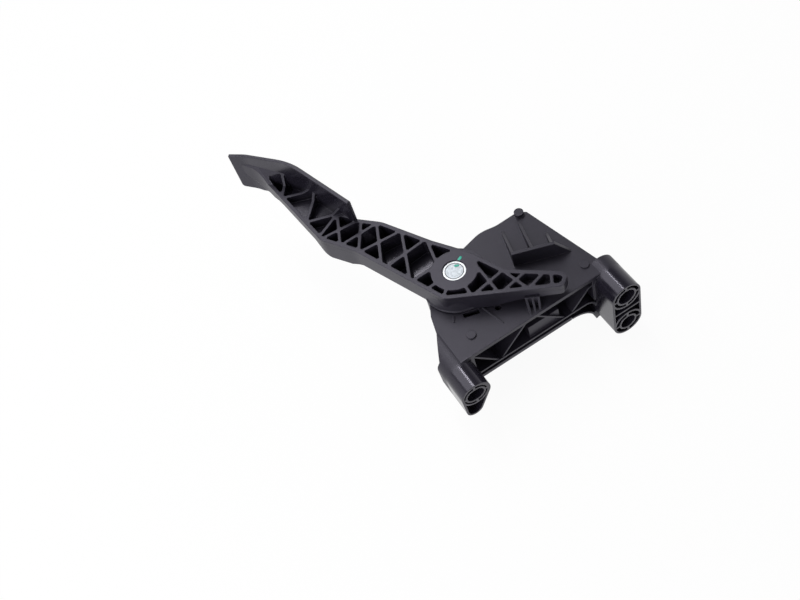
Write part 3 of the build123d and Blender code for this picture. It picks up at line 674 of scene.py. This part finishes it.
def grow(name, base, tree, values):
    """Run a geometry tree on a base mesh and keep the result as a plain piece."""
    source = bpy.data.objects.new(name, base)
    bpy.context.scene.collection.objects.link(source)
    modifier = source.modifiers.new("shape", "NODES")
    modifier.node_group = tree
    sockets = {
        item.name: item.identifier
        for item in tree.interface.items_tree
        if item.in_out == "INPUT"
    }
    for socket, value in values.items():
        modifier[sockets[socket]] = value
    graph = bpy.context.evaluated_depsgraph_get()
    mesh = bpy.data.meshes.new_from_object(source.evaluated_get(graph))
    source.modifiers.remove(modifier)
    source.data = mesh
    return source


# Springs

def make_coil_tree():
    """A coil spring along +Z with closed ends, from its radius, wire, turns and length."""
    sizes = ("Coil radius", "Wire radius", "Turns", "Length")
    inputs = [(size, "Float") for size in sizes] + [("Material", "Material")]
    tree, start, end = new_tree("coil_spring", inputs)
    spiral_values = {"Resolution": steps_in_turn, "Height": 0.0}
    spiral = geometry_node(tree, "GeometryNodeCurveSpiral", spiral_values)
    tree.links.new(start.outputs["Turns"], spiral.inputs["Rotations"])
    tree.links.new(start.outputs["Coil radius"], spiral.inputs["Start Radius"])
    tree.links.new(start.outputs["Coil radius"], spiral.inputs["End Radius"])
    share = geometry_node(tree, "GeometryNodeSplineParameter").outputs["Factor"]
    rise = geometry_node(tree, "ShaderNodeMapRange", interpolation_type="SMOOTHERSTEP")
    tree.links.new(share, rise.inputs["Value"])
    even = geometry_node(tree, "ShaderNodeMix", {"Factor": closed_ends}, data_type="FLOAT")
    tree.links.new(share, even.inputs["A"])
    tree.links.new(rise.outputs["Result"], even.inputs["B"])
    height = math_node(tree, "MULTIPLY", even.outputs["Result"], start.outputs["Length"])
    lift = geometry_node(tree, "ShaderNodeCombineXYZ")
    tree.links.new(height, lift.inputs["Z"])
    raised = geometry_node(tree, "GeometryNodeSetPosition")
    tree.links.new(spiral.outputs["Curve"], raised.inputs["Geometry"])
    tree.links.new(lift.outputs["Vector"], raised.inputs["Offset"])
    section = geometry_node(tree, "GeometryNodeCurvePrimitiveCircle", {"Resolution": wire_sides})
    tree.links.new(start.outputs["Wire radius"], section.inputs["Radius"])
    wire = geometry_node(tree, "GeometryNodeCurveToMesh", {"Fill Caps": True})
    tree.links.new(raised.outputs["Geometry"], wire.inputs["Curve"])
    tree.links.new(section.outputs["Curve"], wire.inputs["Profile Curve"])
    smooth = geometry_node(tree, "GeometryNodeSetShadeSmooth")
    tree.links.new(wire.outputs["Mesh"], smooth.inputs["Geometry"])
    finish_tree(tree, start, end, smooth.outputs["Geometry"])
    return tree


def make_springs():
    """Both springs, between the seat in the housing and the cup on the arm's rotor."""
    tree = make_coil_tree()
    springs = (
        ("outer_spring", outer_wire, outer_turns),
        ("inner_spring", inner_wire, inner_turns),
    )
    for node, wire, turns in springs:
        low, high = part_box(node)
        coil_radius = (high.y - low.y) / 2 - wire
        length = high.x - low.x - 2 * wire
        values = {
            "Coil radius": coil_radius,
            "Wire radius": wire,
            "Turns": turns,
            "Length": length,
            "Material": finishes["spring_steel"],
        }
        spring = grow(node.replace("spring", "coil"), bpy.data.meshes.new(node), tree, values)
        middle = (low + high) / 2
        seat_end = Vector((high.x - wire, middle.y, middle.z))
        spring.data.transform(Matrix.Translation(seat_end) @ Matrix.Rotation(-pi / 2, 4, "Y"))
        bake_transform(spring)
        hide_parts(node)


# Cover screws

def moved(tree, geometry, level):
    """Move geometry along Z to a level, given as a socket or a number."""
    move = geometry_node(tree, "GeometryNodeTransform")
    tree.links.new(geometry, move.inputs["Geometry"])
    if isinstance(level, (int, float)):
        move.inputs["Translation"].default_value = (0.0, 0.0, level)
    else:
        place = geometry_node(tree, "ShaderNodeCombineXYZ")
        tree.links.new(level, place.inputs["Z"])
        tree.links.new(place.outputs["Vector"], move.inputs["Translation"])
    return move.outputs["Geometry"]


def make_round_wall(tree, low, high, depth, level):
    """An open round wall from one radius to another, with its lower rim at a level."""
    wall = geometry_node(tree, "GeometryNodeMeshCone", {"Vertices": screw_sides}, fill_type="NONE")
    for socket, value in (("Radius Bottom", low), ("Radius Top", high), ("Depth", depth)):
        feed(tree, value, wall.inputs[socket])
    return moved(tree, wall.outputs["Mesh"], level)


def make_circle(tree, radius):
    """A round outline of a screw, with a radius given as a socket or a number."""
    circle = geometry_node(tree, "GeometryNodeCurvePrimitiveCircle", {"Resolution": screw_sides})
    feed(tree, radius, circle.inputs["Radius"])
    return circle.outputs["Curve"]


def make_flat(tree, *outlines):
    """A flat face inside one outline, or between two."""
    joined = geometry_node(tree, "GeometryNodeJoinGeometry")
    for outline in outlines:
        tree.links.new(outline, joined.inputs["Geometry"])
    flat = geometry_node(tree, "GeometryNodeFillCurve")
    tree.links.new(joined.outputs["Geometry"], flat.inputs["Curve"])
    return flat.outputs["Mesh"]


def make_screw_tree():
    """Pan-head screws on points, head downwards, with a lobed drive recess and a thread."""
    inputs = [("Head radius", "Float"), ("Shank length", "Float"), ("Material", "Material")]
    tree, start, end = new_tree("cover_screws", inputs)
    head_radius = start.outputs["Head radius"]
    length = start.outputs["Shank length"]
    crown_radius = math_node(tree, "MULTIPLY", head_radius, head_crown)
    core_length = math_node(tree, "SUBTRACT", length, tip_length)
    core_end = math_node(tree, "MULTIPLY", core_length, -1.0)
    tip_end = math_node(tree, "MULTIPLY", length, -1.0)
    star_values = {"Points": drive_lobes, "Inner Radius": drive_waist, "Outer Radius": drive_reach}
    star = geometry_node(tree, "GeometryNodeCurveStar", star_values)
    lobe_values = {"Radius": drive_round, "Count": drive_steps}
    lobes = geometry_node(tree, "GeometryNodeFilletCurve", lobe_values, mode="POLY")
    tree.links.new(star.outputs["Curve"], lobes.inputs["Curve"])
    crown = make_flat(tree, make_circle(tree, crown_radius), lobes.outputs["Curve"])
    recess_values = {"Offset Scale": -drive_depth, "Individual": False}
    recess = geometry_node(tree, "GeometryNodeExtrudeMesh", recess_values)
    tree.links.new(make_flat(tree, lobes.outputs["Curve"]), recess.inputs["Mesh"])
    seat = geometry_node(tree, "GeometryNodeFlipFaces")
    seat_face = make_flat(tree, make_circle(tree, head_radius), make_circle(tree, core_radius))
    tree.links.new(seat_face, seat.inputs["Mesh"])
    shapes = [
        make_round_wall(tree, head_radius, head_radius, head_edge, 0.0),
        make_round_wall(tree, head_radius, crown_radius, head_height - head_edge, head_edge),
        moved(tree, crown, head_height),
        moved(tree, recess.outputs["Mesh"], head_height),
        seat.outputs["Mesh"],
        make_round_wall(tree, core_radius, core_radius, core_length, core_end),
        make_round_wall(tree, 0.0, core_radius, tip_length, tip_end),
    ]
    shell = geometry_node(tree, "GeometryNodeJoinGeometry")
    for shape in shapes:
        tree.links.new(shape, shell.inputs["Geometry"])
    closed = geometry_node(tree, "GeometryNodeMergeByDistance", {"Distance": weld_distance})
    tree.links.new(shell.outputs["Geometry"], closed.inputs["Geometry"])
    screw = geometry_node(tree, "GeometryNodeJoinGeometry")
    tree.links.new(closed.outputs["Geometry"], screw.inputs["Geometry"])
    tree.links.new(moved(tree, make_thread(tree, core_length), core_end), screw.inputs["Geometry"])
    set_out = geometry_node(tree, "GeometryNodeInstanceOnPoints", {"Rotation": (pi, 0.0, 0.0)})
    tree.links.new(start.outputs["Geometry"], set_out.inputs["Points"])
    tree.links.new(screw.outputs["Geometry"], set_out.inputs["Instance"])
    finish_tree(tree, start, end, set_out.outputs["Instances"])
    return tree


def make_thread(tree, core_length):
    """The thread's ridge, a spiral of triangular section that stays within the shank."""
    height = math_node(tree, "SUBTRACT", core_length, thread_start)
    turns = math_node(tree, "DIVIDE", height, thread_pitch)
    # A triangle is 1.5 times as high as the radius of the circle round it
    ridge = (shank_radius - core_radius) / 1.5
    path = geometry_node(tree, "GeometryNodeCurveSpiral", {"Resolution": thread_steps})
    path.inputs["Start Radius"].default_value = core_radius + ridge / 2
    path.inputs["End Radius"].default_value = core_radius + ridge / 2
    tree.links.new(height, path.inputs["Height"])
    tree.links.new(turns, path.inputs["Rotations"])
    triangle = {"Resolution": 3, "Radius": ridge}
    section = geometry_node(tree, "GeometryNodeCurvePrimitiveCircle", triangle)
    thread = geometry_node(tree, "GeometryNodeCurveToMesh", {"Fill Caps": True})
    tree.links.new(path.outputs["Curve"], thread.inputs["Curve"])
    tree.links.new(section.outputs["Curve"], thread.inputs["Profile Curve"])
    return thread.outputs["Mesh"]


def make_screws():
    """The four screws of the back cover, on their CAD places."""
    boxes = [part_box(node) for node in screw_nodes]
    seats = bpy.data.meshes.new("screw_seats")
    places = [
        ((low.x + high.x) / 2, (low.y + high.y) / 2, low.z + head_height) for low, high in boxes
    ]
    seats.from_pydata(places, [], [])
    low, high = boxes[0]
    values = {
        "Head radius": (high.x - low.x) / 2,
        "Shank length": high.z - low.z - head_height,
        "Material": finishes["screw_steel"],
    }
    screws = grow("cover_screws", seats, make_screw_tree(), values)
    screws.data.shade_smooth()
    screws.data.set_sharp_from_angle(angle=sharp_angle)
    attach(screws, "housing")
    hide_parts(*screw_nodes)


# Inspection marks

def squared(share):
    """Push a circle's coordinate out towards a square."""
    return copysign(abs(share) ** rim_squareness, share)


def make_mark(name, mark, level):
    """A dab of paint: a thin film with an uneven rim."""
    mesh = bpy.data.meshes.new(name)
    shape = bmesh.new()
    rings = []
    for share, height in film_profile:
        ring = []
        for step in range(rim_steps):
            angle = 2 * pi * step / rim_steps
            waves = (size * sin(count * angle + shift) for size, count, shift in rim_waves)
            uneven = 1.0 + sum(waves)
            along = mark["length"] / 2 * squared(cos(angle)) * uneven * share
            aside = mark["width"] / 2 * squared(sin(angle)) * uneven * share
            x = pivot[0] + mark["place"][0] + along * cos(mark["turn"]) - aside * sin(mark["turn"])
            y = pivot[1] + mark["place"][1] + along * sin(mark["turn"]) + aside * cos(mark["turn"])
            ring.append(shape.verts.new((x, y, level + paint_film * height)))
        rings.append(ring)
    for lower, upper in zip(rings, rings[1:]):
        for step in range(rim_steps):
            after = (step + 1) % rim_steps
            shape.faces.new((lower[step], lower[after], upper[after], upper[step]))
    shape.faces.new(rings[-1])
    shape.faces.new(list(reversed(rings[0])))
    shape.to_mesh(mesh)
    shape.free()
    dab = bpy.data.objects.new(name, mesh)
    bpy.context.scene.collection.objects.link(dab)
    mesh.materials.append(inspection_green)
    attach(dab, "arm")


# Fillet beside the main lug

def make_lug_fillet():
    """The fillet that closes the gap between the recess's arch and the main lug."""
    shape = bmesh.new()
    rows = []
    for step in range(fillet_steps + 1):
        level = fillet_levels[0] + (fillet_levels[1] - fillet_levels[0]) * step / fillet_steps
        arch_side = arch_axis[0] + sqrt(arch_radius ** 2 - (level - arch_axis[1]) ** 2)
        below = min(level - lower_bore, 0.0)
        lug_side = -sqrt(lug_radius ** 2 - below ** 2)
        corners = [(arch_side, y) for y in fillet_span]
        corners += [(lug_side, y) for y in reversed(fillet_span)]
        rows.append([shape.verts.new((x, y, level)) for x, y in corners])
    for lower, upper in zip(rows, rows[1:]):
        for side in range(4):
            after = (side + 1) % 4
            shape.faces.new((lower[side], upper[side], upper[after], lower[after]))
    shape.faces.new(rows[0])
    shape.faces.new(list(reversed(rows[-1])))
    bmesh.ops.recalc_face_normals(shape, faces=shape.faces)
    mesh = bpy.data.meshes.new("lug_fillet")
    shape.to_mesh(mesh)
    shape.free()
    mesh.materials.append(finishes["housing_plastic"])
    fillet = bpy.data.objects.new("lug_fillet", mesh)
    bpy.context.scene.collection.objects.link(fillet)
    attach(fillet, "housing")


make_springs()
make_screws()
make_lug_fillet()
make_mark("hub_paint_mark", hub_mark, rim_level)
make_mark("pin_paint_mark", pin_mark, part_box("pivot_pin")[1].z)


# Studio: floor, sky, lights and camera

def seen_directly(tree):
    """1 for rays that show a surface as background: straight, mirrored or through glass."""
    rays = shader_node(tree, "LightPath").outputs
    mirrored = math_node(tree, "MAXIMUM", rays["Is Camera Ray"], rays["Is Glossy Ray"])
    return math_node(tree, "MAXIMUM", mirrored, rays["Is Transmission Ray"])


def make_floor():
    """A pale floor that shows almost white and keeps a faint shadow."""
    mesh = bpy.data.meshes.new("studio_floor")
    half = floor_size / 2
    corners = [(-half, -half), (half, -half), (half, half), (-half, half)]
    mesh.from_pydata([(x, y, floor_level) for x, y in corners], [], [(0, 1, 2, 3)])
    floor = bpy.data.objects.new("studio_floor", mesh)
    bpy.context.scene.collection.objects.link(floor)
    material = bpy.data.materials.new("studio_floor")
    material.use_nodes = True
    tree = material.node_tree
    tree.nodes.clear()
    matte = shader_node(tree, "BsdfDiffuse", {"Color": (floor_grey, floor_grey, floor_grey, 1.0)})
    glow = shader_node(tree, "Emission", {"Color": (1.0, 1.0, 1.0, 1.0), "Strength": 1.0})
    mix = shader_node(tree, "MixShader")
    tree.links.new(math_node(tree, "MULTIPLY", seen_directly(tree), floor_glow), mix.inputs["Fac"])
    tree.links.new(matte.outputs["BSDF"], mix.inputs[1])
    tree.links.new(glow.outputs["Emission"], mix.inputs[2])
    end = shader_node(tree, "OutputMaterial")
    tree.links.new(mix.outputs["Shader"], end.inputs["Surface"])
    mesh.materials.append(material)


def make_sky():
    """White studio walls all round, with a dim ceiling over them."""
    world = bpy.data.worlds.new("studio")
    bpy.context.scene.world = world
    world.use_nodes = True
    tree = world.node_tree
    sky = tree.nodes["Background"]
    sky.inputs["Color"].default_value = (1.0, 1.0, 1.0, 1.0)
    rise = split(tree, shader_node(tree, "TexCoord").outputs["Generated"])["Z"]
    light = spread(tree, rise, wall_top, ceiling_start, wall_light, ceiling_light)
    tree.links.new(light, sky.inputs["Strength"])


def make_softbox(name, values, target):
    """A rectangular area lamp that faces a point."""
    lamp = bpy.data.lights.new(name, "AREA")
    lamp.shape = "RECTANGLE"
    lamp.size, lamp.size_y = values["size"]
    lamp.energy = values["watts"]
    softbox = bpy.data.objects.new(name, lamp)
    bpy.context.scene.collection.objects.link(softbox)
    place = Vector(values["place"])
    softbox.location = place
    softbox.rotation_mode = "QUATERNION"
    softbox.rotation_quaternion = (target - place).to_track_quat("-Z", "Y")


def make_camera():
    """The photograph's camera, turned by its own right and up directions."""
    lens = bpy.data.cameras.new("photo_camera")
    lens.lens = camera_lens
    lens.sensor_width = camera_sensor
    lens.clip_start = camera_near
    camera = bpy.data.objects.new("photo_camera", lens)
    bpy.context.scene.collection.objects.link(camera)
    right = camera_right.normalized()
    back = right.cross(camera_up).normalized()
    up = back.cross(right)
    turn = Matrix((right, up, back)).transposed()
    camera.matrix_world = Matrix.Translation(camera_place) @ turn.to_4x4()
    bpy.context.scene.camera = camera


middle = (cad_box[0] + cad_box[1]) / 2
make_floor()
make_sky()
make_softbox("overhead_strip", strip_lamp, middle)
make_softbox("overhead_softbox", overhead_lamp, middle)
make_softbox("left_softbox", left_lamp, middle)
make_camera()
bpy.context.scene.view_settings.view_transform = "Standard"
